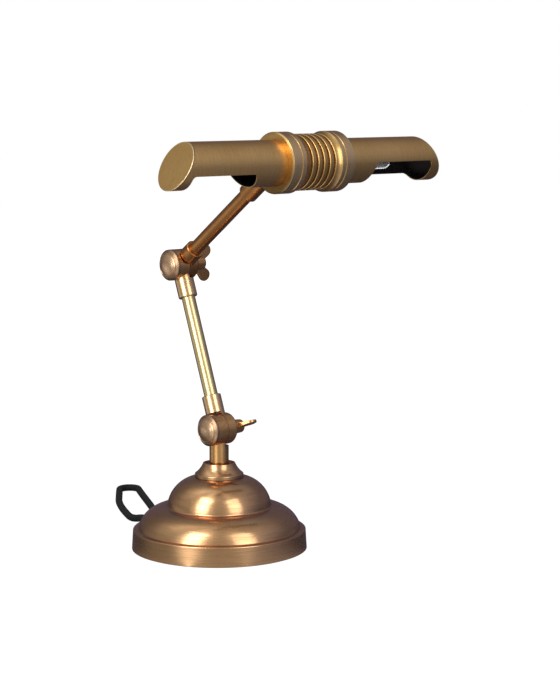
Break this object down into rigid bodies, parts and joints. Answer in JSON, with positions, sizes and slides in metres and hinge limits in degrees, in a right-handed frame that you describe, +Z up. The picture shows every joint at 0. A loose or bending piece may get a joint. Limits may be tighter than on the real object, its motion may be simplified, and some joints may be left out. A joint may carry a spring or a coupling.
{
  "type": "desk lamp",
  "caption": "Brass piano lamp: domed round base, jointed arms with wing nuts, and a finned barrel head with slotted tubular shades that turn.",
  "frame": {"origin": "centre of the underside of the round base, on the surface the lamp stands on", "axes": "+Z up, along the post; -Y is the front, where the head reaches; X is along the head and along every hinge axis"},
  "size_m": [0.3054, 0.3767, 0.38],
  "materials": {
    "base_brass": "aged, lacquered, fine brushing round the spun form",
    "joint_brass": "aged, satin",
    "nut_brass": "aged, smoother from handling",
    "tube_brass": "drawn tube, polished",
    "head_brass": "aged, satin",
    "ballast_iron": "rough casting",
    "felt": "pressed felt",
    "steel": "zinc plated",
    "fibre": "vulcanised fibre",
    "holder_plastic": "moulded",
    "bulb_metal": "threaded cap",
    "bulb_glass": "clear",
    "black_plastic": "moulded, satin",
    "cord_textile": "braided sleeve",
    "pin_metal": "nickelled"
  },
  "bodies": {
    "base": {"base_shell": "base_brass", "base_weight": "ballast_iron", "base_felt": "felt", "base_cup": "base_brass", "base_post": "joint_brass", "base_nipple": "steel", "base_washer": "steel", "base_nut": "steel", "cord_gland": "black_plastic", "lower_hinge_bolt": "steel", "lower_hinge_cap": "joint_brass", "lower_hinge_friction_washer": "fibre", "power_cord": "cord_textile", "switch_cord": "cord_textile", "cord_coil": "cord_textile", "cord_tail": "cord_textile", "switch_base": "black_plastic", "switch_cover": "black_plastic", "plug_body": "black_plastic", "plug_pin_left": "pin_metal", "plug_pin_right": "pin_metal"},
    "lower_arm": {"lower_arm_foot": "joint_brass", "lower_arm_tube": "tube_brass", "lower_arm_head": "joint_brass", "lower_hinge_washer": "nut_brass", "elbow_bolt": "steel", "elbow_cap": "joint_brass", "elbow_friction_washer": "fibre"},
    "upper_arm": {"upper_arm_foot": "joint_brass", "upper_arm_tube": "tube_brass", "elbow_washer": "nut_brass", "head_socket": "joint_brass", "head_barrel": "head_brass", "left_end_ring": "head_brass", "right_end_ring": "head_brass", "holder_bracket": "steel", "left_lamp_holder": "holder_plastic", "right_lamp_holder": "holder_plastic", "left_bulb_cap": "bulb_metal", "right_bulb_cap": "bulb_metal", "left_bulb_glass": "bulb_glass", "right_bulb_glass": "bulb_glass"},
    "left_shade_body": {"left_shade": "head_brass", "left_end_cap": "head_brass"},
    "right_shade_body": {"right_shade": "head_brass", "right_end_cap": "head_brass"},
    "lower_wing": {"lower_hinge_wing_nut": "nut_brass"},
    "elbow_wing": {"elbow_wing_nut": "nut_brass"},
    "rocker": {"switch_rocker": "black_plastic"}
  },
  "joints": [
    {"name": "lower_hinge", "type": "hinge", "parent": "base", "child": "lower_arm", "pos_m": [0, 0, 0.11], "axis": [1, 0, 0], "range_deg": [-40, 60]},
    {"name": "elbow_hinge", "type": "hinge", "parent": "lower_arm", "child": "upper_arm", "pos_m": [0, 0.05387, 0.2564], "axis": [1, 0, 0], "range_deg": [-70, 38]},
    {"name": "left_shade_turn", "type": "hinge", "parent": "upper_arm", "child": "left_shade_body", "pos_m": [0.024, -0.088, 0.35342], "axis": [1, 0, 0], "continuous": true},
    {"name": "right_shade_turn", "type": "hinge", "parent": "upper_arm", "child": "right_shade_body", "pos_m": [0.024, -0.088, 0.35342], "axis": [1, 0, 0], "continuous": true},
    {"name": "lower_wing_turn", "type": "hinge", "parent": "base", "child": "lower_wing", "pos_m": [0, 0, 0.11], "axis": [1, 0, 0], "continuous": true},
    {"name": "elbow_wing_turn", "type": "hinge", "parent": "lower_arm", "child": "elbow_wing", "pos_m": [0, 0.05387, 0.2564], "axis": [1, 0, 0], "continuous": true},
    {"name": "rocker_tilt", "type": "hinge", "parent": "base", "child": "rocker", "pos_m": [0.064, 0.0763, 0.0094], "axis": [0.6428, 0.766, 0], "range_deg": [-7, 7]}
  ]
}
